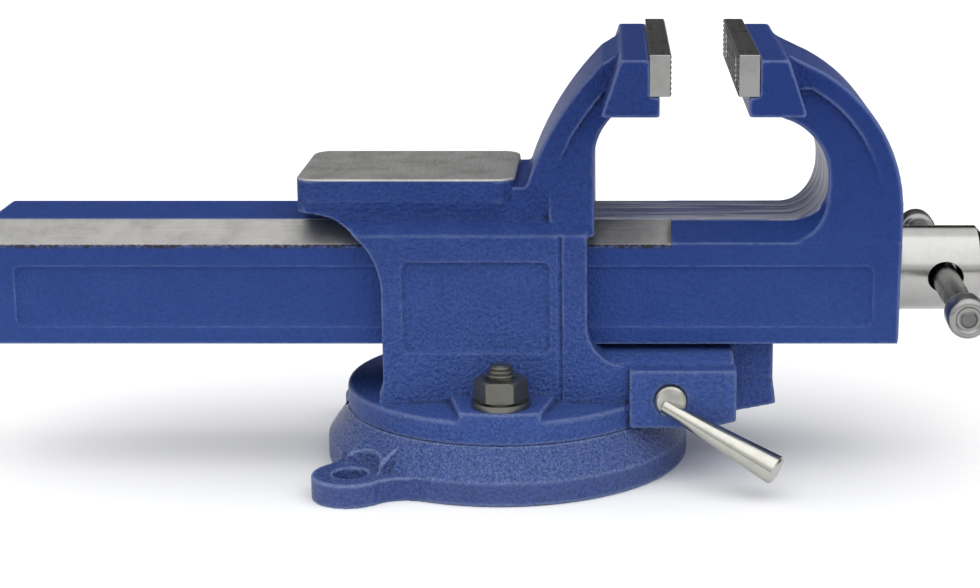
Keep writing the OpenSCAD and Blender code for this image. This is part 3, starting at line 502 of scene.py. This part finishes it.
class Bench:
    """The modelling moves that several pieces share."""

    @staticmethod
    def hold(piece: bpy.types.Object) -> None:
        """Makes a piece the only selected one."""
        bpy.ops.object.select_all(action="DESELECT")
        piece.select_set(True)
        bpy.context.view_layer.objects.active = piece

    @staticmethod
    def edit(part: Part, action: str = "SELECT") -> None:
        """Enters edit mode on the held piece, with all or nothing selected."""
        bpy.context.tool_settings.mesh_select_mode = part.value
        bpy.ops.object.mode_set(mode="EDIT")
        bpy.ops.mesh.select_all(action=action)

    @staticmethod
    def leave() -> None:
        """Goes back to object mode."""
        bpy.ops.object.mode_set(mode="OBJECT")

    @staticmethod
    def weld(outwards: bool = True) -> None:
        """Merges the held piece's doubles, and turns its faces outwards where asked."""
        Bench.edit(Part.POINTS)
        bpy.ops.mesh.remove_doubles(threshold=WELD)
        if outwards:
            bpy.ops.mesh.normals_make_consistent(inside=False)
        Bench.leave()

    @staticmethod
    def copy_of(node: str, name: str) -> bpy.types.Object:
        """Copies a CAD node's mesh as one welded piece.

        Args:
            node: Name of the node.
            name: Name of the new piece.

        Returns:
            The new piece, held.
        """
        piece = bpy.data.objects.new(name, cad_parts[node].data.copy())
        bpy.context.scene.collection.objects.link(piece)
        Bench.hold(piece)
        bpy.ops.mesh.customdata_custom_splitnormals_clear()
        Bench.weld(outwards=False)
        return piece

    @staticmethod
    def apply(piece: bpy.types.Object, kind: str, **settings: object) -> None:
        """Adds a modifier to a piece and applies it.

        Args:
            piece: The piece.
            kind: Blender's type of modifier.
            settings: The modifier's attributes.
        """
        Bench.hold(piece)
        modifier = piece.modifiers.new(kind.title(), kind)
        for name, value in settings.items():
            setattr(modifier, name, value)
        bpy.ops.object.modifier_apply(modifier=modifier.name)

    @staticmethod
    def smooth(piece: bpy.types.Object, angle: float) -> None:
        """Shades a piece smooth up to an angle in degrees."""
        Bench.hold(piece)
        bpy.ops.object.shade_smooth_by_angle(angle=math.radians(angle))

    @staticmethod
    def settle(piece: bpy.types.Object, matrix: Matrix) -> None:
        """Moves a piece and puts its place into its mesh."""
        piece.matrix_world = matrix
        Bench.hold(piece)
        bpy.ops.object.transform_apply(location=True, rotation=True, scale=True)

    @staticmethod
    def outline(name: str, profile: Sequence[tuple[float, float]]) -> bpy.types.Object:
        """Draws an open line beside the Z axis, by extruding one point.

        Args:
            name: Name of the new piece.
            profile: Places along Z with the distance from it, in metres.

        Returns:
            The new piece, held.
        """
        points = [Vector((out, 0, along)) for along, out in profile]
        bpy.ops.object.select_all(action="DESELECT")
        bpy.ops.mesh.primitive_plane_add(size=MM)
        piece = bpy.context.object
        piece.name = name
        Bench.edit(Part.POINTS)
        bpy.ops.mesh.merge(type="CENTER")
        bpy.ops.transform.translate(value=points[0])
        for start, end in zip(points, points[1:]):
            bpy.ops.mesh.extrude_vertices_move(TRANSFORM_OT_translate={"value": end - start})
        Bench.leave()
        return piece

    @staticmethod
    def lathe(
        name: str, axis: Axis, profile: Sequence[tuple[float, float]], steps: int = 72
    ) -> bpy.types.Object:
        """Turns a closed shape about an axis.

        Args:
            name: Name of the new piece.
            axis: The axis.
            profile: Places along the axis with their radius, from end to end.
            steps: Number of flats round the axis.

        Returns:
            The new piece, in place.
        """
        piece = Bench.outline(name, profile)
        Bench.edit(Part.POINTS)
        bpy.ops.mesh.spin(steps=steps, angle=FULL_TURN, center=(0, 0, 0), axis=(0, 0, 1))
        Bench.leave()
        Bench.weld()
        Bench.settle(piece, axis.frame())
        return piece

    @staticmethod
    def thread(
        name: str, axis: Axis, length: float, pitch: float, radius: float, depth: float
    ) -> bpy.types.Object:
        """Winds a thread about an axis and cuts it flat at both ends.

        Args:
            name: Name of the new piece.
            axis: The axis, from the thread's first end.
            length: Length of the thread.
            pitch: Distance from turn to turn.
            radius: Radius of the crest.
            depth: Depth of the thread.

        Returns:
            The new piece, in place.
        """
        shares = [(0.0, depth), (0.34, depth), (0.47, 0.0), (0.83, 0.0), (1.0, depth)]
        piece = Bench.outline(name, [((part - 1) * pitch, radius - drop) for part, drop in shares])
        Bench.apply(piece, "SCREW", axis="Z", angle=FULL_TURN, screw_offset=pitch, steps=40,
                    render_steps=40, iterations=math.ceil(length / pitch) + 2, use_merge_vertices=False)
        Bench.weld()
        for height, keep_above in ((0.0, True), (length, False)):
            Bench.edit(Part.POINTS)
            bpy.ops.mesh.bisect(plane_co=(0, 0, height), plane_no=(0, 0, 1), use_fill=True,
                                clear_inner=keep_above, clear_outer=not keep_above)
            Bench.leave()
        Bench.weld()
        Bench.settle(piece, axis.frame())
        return piece

    @staticmethod
    def cut(piece: bpy.types.Object, cutter: bpy.types.Object) -> None:
        """Cuts one closed piece out of another, and removes the cutter."""
        Bench.apply(piece, "BOOLEAN", operation="DIFFERENCE", solver="EXACT", object=cutter)
        bpy.data.objects.remove(cutter)

    @staticmethod
    def join(piece: bpy.types.Object, *others: bpy.types.Object) -> None:
        """Joins other meshes into a piece."""
        Bench.hold(piece)
        for other in others:
            other.select_set(True)
        bpy.ops.object.join()


def dress(piece: bpy.types.Object, finish: Finish, body: str, slot: str, *nodes: str) -> None:
    """Finishes a piece and ties it to the frame.

    Args:
        piece: The piece.
        finish: Its finish.
        body: The body that it moves with.
        slot: The record's material slot; not used.
        nodes: The CAD nodes that it stands for.
    """
    piece.data.materials.clear()
    piece.data.materials.append(finish.material())
    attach(piece, body)
    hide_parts(*nodes)
    log.info("%s: %d faces on %s", piece.name, len(piece.data.polygons), body)


def refinish(node: str, finish: Finish) -> None:
    """Gives a CAD node that keeps its shape a finish of its own."""
    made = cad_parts[node]
    made.data.materials.clear()
    made.data.materials.append(finish.material())
    log.info("%s: keeps its solid", node)


ALONG_X = (1.0, 0.0, 0.0)
ALONG_Y = (0.0, 1.0, 0.0)
ALONG_Z = (0.0, 0.0, 1.0)


def screw_line() -> Axis:
    """The main screw's axis, from its rear end."""
    low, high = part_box("main_screw")
    return Axis(Vector((low.x, 0, (low.z + high.z) / 2)), Vector(ALONG_X))


def handle_line() -> Axis:
    """The handle bar's axis, from its middle towards the far knob."""
    near, far = (sum(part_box(f"handle_knob_{end}"), Vector()) / 2 for end in ("near", "far"))
    return Axis((near + far) / 2, (far - near).normalized())


@dataclass
class Casting:
    """One iron casting: its solid with softened edges under enamel."""

    node: str
    name: str
    body: str
    finish: Enamel
    voxel: float = 1.0 * MM
    rounds: int = 2
    keep: float = 0.38

    def build(self) -> bpy.types.Object:
        """Softens the edges of the solid.

        Returns:
            The casting.
        """
        piece = Bench.copy_of(self.node, self.name)
        self.cast(piece)
        self.carve(piece)
        Bench.apply(piece, "SMOOTH", factor=0.5, iterations=self.rounds)
        Bench.apply(piece, "DECIMATE", decimate_type="COLLAPSE", ratio=self.keep)
        Bench.smooth(piece, 60)
        return piece

    def cast(self, piece: bpy.types.Object) -> None:
        """Gives a piece an even mesh."""
        Bench.apply(piece, "REMESH", mode="VOXEL", voxel_size=self.voxel, adaptivity=0.0)

    def carve(self, piece: bpy.types.Object) -> None:
        """Works the even mesh by hand, which most castings don't need."""

    def dress(self) -> None:
        """Builds and paints the casting."""
        dress(self.build(), self.finish, self.body, "body_paint", self.node)


@dataclass
class JawCasting(Casting):
    """The moving jaw, on which the slope beside the slide's top runs out round the heel of the throat."""

    heel: tuple[float, float] = HEEL
    heel_r: float = HEEL_R
    slope_h: float = 9.7 * MM
    top_half: float = 23.75 * MM
    foot_half: float = 38.8 * MM
    lead_in: float = 18 * MM

    def half_width(self, along: float, below: float) -> float:
        """Half the width of the casting on the slope.

        Args:
            along: Distance in front of the heel's centre.
            below: Distance below it.

        Returns:
            The half width, or infinity off the slope.
        """
        turn = max(0.0, math.atan2(along, below)) / (math.pi / 2)
        fade = 1 - turn * turn * (3 - 2 * turn)
        depth = (math.hypot(along, below) if along > 0 else below) - self.heel_r
        drop = self.slope_h * fade
        if depth >= drop:
            return math.inf
        edge = self.foot_half - (self.foot_half - self.top_half) * fade
        return edge + max(0.0, depth / drop) * (self.foot_half - edge)

    def carve(self, piece: bpy.types.Object) -> None:
        """Draws the casting's sides in to the slope."""
        reach = self.heel_r + self.slope_h
        for vertex in piece.data.vertices:
            along = vertex.co.x - self.heel[0]
            below = self.heel[1] - vertex.co.z
            if -self.lead_in < along < reach and 0 < below < reach:
                limit = self.half_width(along, below)
                vertex.co.y = max(-limit, min(limit, vertex.co.y))
        self.cast(piece)


@dataclass
class GripPlate:
    """A hardened jaw plate with a serrated grip face and two countersunk holes."""

    node: str
    name: str
    body: str
    facing: int
    finish: Metal
    tooth: float = 2.55 * MM
    tooth_h: float = 0.75 * MM
    chamfer: float = 0.5 * MM
    screw_gap: float = 90 * MM
    screw_d: float = 8 * MM
    screw_drop: float = 1.25 * MM
    screw_play: float = 0.4 * MM
    cut_depth: float = 20 * MM

    def build(self) -> bpy.types.Object:
        """Builds the plate from its grip face backwards.

        Returns:
            The plate.
        """
        low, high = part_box(self.node)
        size = high - low
        middle = (low + high) / 2
        grip = high.x if self.facing > 0 else low.x
        bpy.ops.object.select_all(action="DESELECT")
        bpy.ops.mesh.primitive_grid_add(
            x_subdivisions=round(size.z / self.tooth), y_subdivisions=round(size.y / self.tooth), size=1,
        )
        piece = bpy.context.object
        piece.name = self.name
        place = Matrix.Translation((grip - self.facing * self.tooth_h, middle.y, middle.z))
        turn = Matrix.Rotation(self.facing * math.pi / 2, 4, "Y")
        Bench.settle(piece, place @ turn @ Matrix.Diagonal((size.z, size.y, 1, 1)))
        Bench.edit(Part.FACES)
        bpy.ops.mesh.poke(offset=self.tooth_h, use_relative_offset=False)
        bpy.context.tool_settings.mesh_select_mode = Part.EDGES.value
        bpy.ops.mesh.select_all(action="DESELECT")
        bpy.ops.mesh.select_non_manifold(use_wire=False, use_multi_face=False, use_verts=False)
        back = Vector((-self.facing * (size.x - self.tooth_h), 0, 0))
        bpy.ops.mesh.extrude_edges_move(TRANSFORM_OT_translate={"value": back})
        bpy.ops.mesh.edge_face_add()
        Bench.leave()
        Bench.weld()
        Bench.apply(piece, "BEVEL", width=self.chamfer, segments=2, limit_method="ANGLE",
                    angle_limit=math.radians(75))
        for side in (-1, 1):
            Bench.cut(piece, self.countersink(grip, side, middle.z - self.screw_drop))
        Bench.smooth(piece, 20)
        return piece

    def countersink(self, grip: float, side: int, height: float) -> bpy.types.Object:
        """Builds the cutter of one screw hole.

        Args:
            grip: Place of the grip face.
            side: -1 for the front hole, 1 for the back one.
            height: Height of the hole.

        Returns:
            The cutter.
        """
        start = Vector((grip, side * self.screw_gap / 2, height))
        axis = Axis(start, Vector((-self.facing, 0, 0)))
        shank = self.screw_d / 2 + self.screw_play
        over = 1 * MM
        profile = [(-over, 0), (-over, self.screw_d + over), (self.screw_d - shank, shank),
                   (self.cut_depth, shank), (self.cut_depth, 0)]
        return Bench.lathe("countersink", axis, profile, 48)

    def dress(self) -> None:
        """Builds and finishes the plate."""
        dress(self.build(), self.finish, self.body, "jaw_steel", self.node)


@dataclass
class LeadScrew:
    """The main screw: a trapezoidal thread, a plain journal and the turned boss."""

    finish: Metal
    lead: float = 6 * MM
    depth: float = 3 * MM
    radius: float = 14 * MM
    collar_stop: float = 2 * MM
    overlap: float = 1 * MM

    def build(self) -> bpy.types.Object:
        """Builds the thread and joins the boss of the solid to it.

        Returns:
            The screw.
        """
        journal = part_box("retaining_collar")[0].x - self.collar_stop
        line = screw_line()
        boss = Bench.copy_of("main_screw", "lead_screw")
        Bench.edit(Part.POINTS)
        bpy.ops.mesh.bisect(plane_co=(journal, 0, 0), plane_no=ALONG_X, use_fill=True, clear_inner=True)
        Bench.leave()
        run = journal - line.origin.x + self.overlap
        Bench.join(boss, Bench.thread("screw_thread", line, run, self.lead, self.radius, self.depth))
        Bench.smooth(boss, 35)
        return boss

    def dress(self) -> None:
        """Builds and finishes the screw."""
        dress(self.build(), self.finish, "screw", "turned_steel", "main_screw")


@dataclass
class SwivelLock:
    """The two lock bolts with their threads, nuts and washers."""

    oxide: Metal
    washer: Metal
    reach: float = 69 * MM
    pitch: float = 2 * MM
    radius: float = 8 * MM
    tip_r: float = 5.3 * MM
    depth: float = 1.1 * MM
    sink: float = 0.3 * MM
    crest_wear: float = 0.2 * MM

    def studs(self) -> bpy.types.Object:
        """Builds both bolts, threaded from the flange upwards.

        Returns:
            The bolts as one piece.
        """
        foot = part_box("lock_washers")[0].z - self.pitch
        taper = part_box("front_lock_nut")[1].z + self.pitch / 2
        bolts = Bench.copy_of("lock_bolts", "lock_studs")
        Bench.edit(Part.POINTS)
        bpy.ops.mesh.bisect(plane_co=(0, 0, foot), plane_no=ALONG_Z, use_fill=True, clear_outer=True)
        Bench.leave()
        for side in (-1, 1):
            axis = Axis(Vector((0, side * self.reach, foot)), Vector(ALONG_Z))
            thread = Bench.thread("stud_thread", axis, taper - foot, self.pitch, self.radius, self.depth)
            tip = self.tip(Axis(Vector((0, side * self.reach, taper)), axis.direction))
            Bench.join(bolts, thread, tip)
        Bench.smooth(bolts, 30)
        return bolts

    def tip(self, axis: Axis) -> bpy.types.Object:
        """Builds the tapered end of a stud, with its thread worn to rings.

        Args:
            axis: The stud's axis, from the foot of the taper.

        Returns:
            The end.
        """
        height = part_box("lock_bolts")[1].z - axis.origin.z
        rings = round(height / self.pitch)
        profile = [(-self.sink, 0.0), (-self.sink, self.radius - self.depth)]
        worn = self.crest_wear
        for ring in range(rings):
            for share, drop in ((0.05, self.depth), (0.35, worn), (0.65, worn), (0.95, self.depth)):
                part = (ring + share) / rings
                profile.append((height * part, self.radius + (self.tip_r - self.radius) * part - drop))
        profile += [(height, self.tip_r - self.depth), (height, 0.0)]
        return Bench.lathe("stud_tip", axis, profile)

    def dress(self) -> None:
        """Builds and finishes the bolts, nuts and washers."""
        dress(self.studs(), self.oxide, "body", "black_oxide", "lock_bolts")
        for side in ("front", "back"):
            nut = Bench.copy_of(f"{side}_lock_nut", f"{side}_hex_nut")
            Bench.smooth(nut, 25)
            dress(nut, self.oxide, f"{side}_nut", "black_oxide", f"{side}_lock_nut")
        rings = Bench.copy_of("lock_washers", "washer_pair")
        Bench.smooth(rings, 30)
        dress(rings, self.washer, "body", "black_oxide", "lock_washers")


@dataclass
class HandleSet:
    """The sliding bar handle and the knob on each end."""

    rod: Metal
    steel: Metal
    bar_d: float = 14 * MM
    tenon_d: float = 8 * MM
    knob_d: float = 20.4 * MM
    knob_l: float = 17 * MM
    bar_l: float = 196 * MM
    chamfer: float = 0.6 * MM
    knob_edge: float = 3 * MM
    knob_play: float = 0.03 * MM
    dish: float = 1.1 * MM

    def bar(self) -> bpy.types.Object:
        """Builds the bar with its two tenons.

        Returns:
            The bar.
        """
        half = self.bar_l / 2
        shoulder = half - self.knob_l
        out = self.bar_d / 2
        tenon = self.tenon_d / 2
        ends = [(half, 0.0), (half, tenon - self.chamfer), (half - self.chamfer, tenon), (shoulder, tenon),
                (shoulder, out - self.chamfer), (shoulder - self.chamfer, out)]
        profile = [(-along, radius) for along, radius in ends] + ends[::-1]
        piece = Bench.lathe("handle_rod", handle_line(), profile)
        Bench.smooth(piece, 30)
        return piece

    def knob(self, name: str, side: int) -> bpy.types.Object:
        """Builds one knob with a dished end.

        Args:
            name: Name of the piece.
            side: -1 for the near end, 1 for the far one.

        Returns:
            The knob.
        """
        line = handle_line()
        outward = line.direction * side
        axis = Axis(line.origin + outward * (self.bar_l / 2 - self.knob_l), outward)
        edge = self.knob_edge
        mid = self.knob_d / 2 - edge
        bore = self.tenon_d / 2 + self.knob_play
        floor = self.knob_l - self.dish
        corner = [math.radians(15 * step) for step in range(7)]
        profile = [(0.0, bore)]
        top = self.knob_l
        for angle in corner:
            profile.append((edge - edge * math.cos(angle), mid + edge * math.sin(angle)))
        for angle in corner:
            profile.append((top - edge + edge * math.sin(angle), mid + edge * math.cos(angle)))
        profile += [(top - 0.2 * MM, mid - 0.5 * MM), (floor, mid - 1.4 * MM),
                    (floor, bore + 0.6 * MM), (top - 0.5 * MM, bore), (0.0, bore)]
        piece = Bench.lathe(name, axis, profile)
        Bench.smooth(piece, 35)
        return piece

    def dress(self) -> None:
        """Builds and finishes the handle."""
        dress(self.bar(), self.rod, "handle", "turned_steel", "handle_bar")
        for name, side in (("near", -1), ("far", 1)):
            piece = self.knob(f"{name}_knob", side)
            dress(piece, self.steel, "handle", "turned_steel", f"handle_knob_{name}")


@dataclass
class QuickRelease:
    """The lever with its shaft, and the spring under the half nut."""

    polished: Metal
    shaft: Metal
    spring: Metal
    wire: float = 1.6 * MM
    coil_d: float = 10.4 * MM
    turns: int = 7
    squeeze: float = 0.78

    def coil(self) -> bpy.types.Object:
        """Winds the spring under the half nut.

        Returns:
            The spring.
        """
        low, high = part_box("half_nut_spring")
        middle = (low + high) / 2
        bpy.ops.object.select_all(action="DESELECT")
        bpy.ops.mesh.primitive_circle_add(
            vertices=12, radius=self.wire / 2, rotation=(math.pi / 2, 0, 0),
            location=((self.coil_d - self.wire) / 2, 0, self.wire / 2),
        )
        piece = bpy.context.object
        piece.name = "nut_spring"
        bpy.ops.object.transform_apply(location=True, rotation=True, scale=True)
        rise = (high.z - low.z - self.wire) / self.turns
        Bench.apply(piece, "SCREW", axis="Z", angle=FULL_TURN, screw_offset=rise, steps=28, render_steps=28,
                    iterations=self.turns, use_merge_vertices=False)
        Bench.edit(Part.POINTS)
        bpy.ops.mesh.remove_doubles(threshold=WELD)
        bpy.ops.mesh.fill_holes(sides=0)
        bpy.ops.mesh.normals_make_consistent(inside=False)
        Bench.leave()
        Bench.settle(piece, Matrix.Translation((middle.x, middle.y, low.z)))
        Bench.smooth(piece, 40)
        return piece

    def dress(self) -> None:
        """Builds and finishes the lever, the shaft and the spring."""
        for node, name, finish in (("lever_arm", "release_arm", self.polished),
                                   ("lever_shaft", "release_shaft", self.shaft)):
            piece = Bench.copy_of(node, name)
            Bench.smooth(piece, 30)
            dress(piece, finish, "release_lever", "turned_steel", node)
        spring = self.coil()
        dress(spring, self.spring, "body", "spring_steel", "half_nut_spring")
        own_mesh(spring)


@dataclass
class Studio:
    """Floor, light and camera."""

    lens: float = 78.6
    sensor: float = 36.0
    place: Point = (0.05647, -1.1027, 0.36065)
    pitch: float = 14.0
    shift: float = -0.1255
    floor_size: float = 30.0
    sky: float = 0.75
    rise: float = 0.55
    back: float = 0.55
    horizon: tuple[float, float] = (0.02, 0.14)
    sun: float = 0.9
    sun_spread: float = 85.0
    sun_height: float = 62.0
    sun_side: float = 12.0

    def camera(self) -> None:
        """Places the camera at the photograph's viewpoint."""
        data = bpy.data.cameras.new("view")
        data.lens = self.lens
        data.sensor_width = self.sensor
        data.shift_x = self.shift
        made = bpy.data.objects.new("view", data)
        made.location = self.place
        made.rotation_euler = (math.radians(90 - self.pitch), 0, 0)
        bpy.context.scene.collection.objects.link(made)
        bpy.context.scene.camera = made

    def floor(self) -> None:
        """Lays a plain white floor that keeps the vise's shadow."""
        bpy.ops.object.select_all(action="DESELECT")
        bpy.ops.mesh.primitive_plane_add(size=self.floor_size)
        made = bpy.context.object
        made.name = "floor"
        material = bpy.data.materials.new("floor")
        material.use_nodes = True
        tree = Tree(material.node_tree)
        grain = tree.noise(tree.place(), 6, 2)
        tone = tree.mix(grain, (0.93, 0.93, 0.93), (0.95, 0.95, 0.95))
        tree.close(tree.node("BsdfDiffuse", inputs={"Color": tone}))
        made.data.materials.append(material)

    def world(self) -> None:
        """Makes a room that is bright overhead and in front, and dark at the horizon and behind."""
        made = bpy.data.worlds.new("room")
        bpy.context.scene.world = made
        made.use_nodes = True
        tree = Tree(made.node_tree)
        _, depth, height = tree.parts(tree.place())
        wall = height - self.back * depth.math("MAXIMUM", depth, 0.0)
        glow = wall.ramp(*self.horizon) * (self.sky + self.rise * height)
        tone = tree.node("CombineXYZ", inputs={0: glow, 1: glow, 2: glow})
        tree.close(tree.node("Background", inputs={"Color": tone}), "OutputWorld")

    def light(self) -> None:
        """Lights the front from above with one broad, soft source."""
        data = bpy.data.lights.new("key", "SUN")
        data.energy = self.sun
        data.angle = math.radians(self.sun_spread)
        made = bpy.data.objects.new("key", data)
        made.rotation_euler = (math.radians(90 - self.sun_height), 0, math.radians(self.sun_side))
        bpy.context.scene.collection.objects.link(made)

    def build(self) -> None:
        """Sets up the room, the lamps and the camera."""
        self.camera()
        self.floor()
        self.world()
        self.light()
        bpy.context.scene.view_settings.view_transform = "Standard"


def finishes() -> dict[str, Finish]:
    """Names every finish on the vise.

    Returns:
        The finishes by name.
    """
    anvil = Zone((-110 * MM, -60 * MM, 154.9 * MM), (10 * MM, 60 * MM, 160 * MM))
    guides = Zone((-270 * MM, -45 * MM, 121.0 * MM), (86.3 * MM, 45 * MM, 131.2 * MM))
    guide_edge = Zone((-270 * MM, -45 * MM, 119.5 * MM), (86.3 * MM, 45 * MM, 121.0 * MM))
    # The throat carries painted reflection streaks
    throat = Zone((50 * MM, -33.5 * MM, 131.3 * MM), (170 * MM, 33.5 * MM, 180 * MM),
                  (40 * MM, 1 * MM, 0.6 * MM), (1 * MM, 1 * MM, 0.6 * MM))
    heel = Corner(HEEL, HEEL_R)
    screw = screw_line()
    handle = handle_line()
    made = [
        Enamel("base_enamel", colour=(0.030, 0.071, 0.285), worn=(0.20, 0.28, 0.52), glints=0.50,
               crest=12 * MM, mottle=0.30, peel=3.8 * MM, gloss=0.28, sheen=0.6),
        Enamel("body_enamel", colour=(0.037, 0.087, 0.332), shade=(0.0103, 0.038, 0.200), mottle=0.26,
               peel=3.4 * MM, bare=anvil, steel=(0.55, 0.55, 0.54),
               grind=(1500.0, 40.0, 40.0)),
        Enamel("slide_enamel", colour=(0.0200, 0.057, 0.245), peel=1.5 * MM, glints=0.10, sheen=0.16,
               bare=guides, grimy=guide_edge, reflection_zone=throat, spared=heel, steel=(0.37, 0.365, 0.355)),
        Metal("jaw_plate_steel", colour=(0.32, 0.32, 0.315), stain=(0.21, 0.21, 0.205), roughness=0.30,
              grain=Grain.GROUND, axis=ALONG_Y, pitch=0.8 * MM),
        Metal("screw_steel", colour=(0.42, 0.42, 0.41), roughness=0.20, origin=tuple(screw.origin),
              axis=ALONG_X),
        Metal("knob_steel", colour=(0.31, 0.31, 0.305), stain=(0.16, 0.16, 0.155), roughness=0.30,
              origin=tuple(handle.origin), axis=tuple(handle.direction)),
        Metal("bar_steel", colour=(0.16, 0.16, 0.158), stain=(0.07, 0.07, 0.068), roughness=0.26,
              origin=tuple(handle.origin), axis=tuple(handle.direction)),
        Metal("lever_steel", colour=(0.50, 0.50, 0.45), roughness=0.22, grain=Grain.ROUGH, pitch=2 * MM,
              depth=0.006 * MM),
        Metal("shaft_steel", colour=(0.55, 0.55, 0.50), stain=(0.22, 0.22, 0.20), stained=0.6,
              roughness=0.38, grain=Grain.ROUGH, pitch=0.7 * MM, depth=0.10 * MM),
        Metal("oiled_oxide", colour=(0.14, 0.138, 0.125), stain=(0.05, 0.05, 0.043), roughness=0.30,
              metallic=0.8, grain=Grain.ROUGH, pitch=0.8 * MM, depth=0.05 * MM),
        Metal("washer_oxide", colour=(0.17, 0.17, 0.155), stain=(0.06, 0.06, 0.055), roughness=0.34,
              metallic=0.9, grain=Grain.ROUGH, pitch=0.8 * MM, depth=0.05 * MM),
        Metal("spring_wire", colour=(0.40, 0.40, 0.39), grain=Grain.ROUGH, pitch=0.6 * MM),
        Metal("machined_iron", colour=(0.28, 0.28, 0.27), stain=(0.14, 0.14, 0.13), roughness=0.45,
              grain=Grain.ROUGH, pitch=1.2 * MM, depth=0.08 * MM),
    ]
    return {finish.name: finish for finish in made}


def main() -> None:
    """Builds the vise's pieces in order, then the studio."""
    logging.basicConfig(level=logging.INFO, format="%(message)s")
    kit = finishes()
    Casting("swivel_base", "base_casting", "base", kit["base_enamel"]).dress()
    Casting("fixed_body", "body_casting", "body", kit["body_enamel"]).dress()
    JawCasting("moving_jaw", "jaw_casting", "slide", kit["slide_enamel"]).dress()
    GripPlate("fixed_jaw_plate", "fixed_grip", "body", 1, kit["jaw_plate_steel"]).dress()
    GripPlate("moving_jaw_plate", "moving_grip", "slide", -1, kit["jaw_plate_steel"]).dress()
    LeadScrew(kit["screw_steel"]).dress()
    SwivelLock(kit["oiled_oxide"], kit["washer_oxide"]).dress()
    HandleSet(kit["bar_steel"], kit["knob_steel"]).dress()
    QuickRelease(kit["lever_steel"], kit["shaft_steel"], kit["spring_wire"]).dress()
    for node, finish in (
        ("fixed_jaw_screws", "oiled_oxide"), ("moving_jaw_screws", "oiled_oxide"),
        ("shaft_circlip", "oiled_oxide"), ("half_nut", "machined_iron"), ("thrust_washer", "screw_steel"),
        ("retaining_collar", "screw_steel"), ("collar_pin", "spring_wire"),
    ):
        refinish(node, kit[finish])
    Studio().build()


if __name__ == "__main__":
    main()
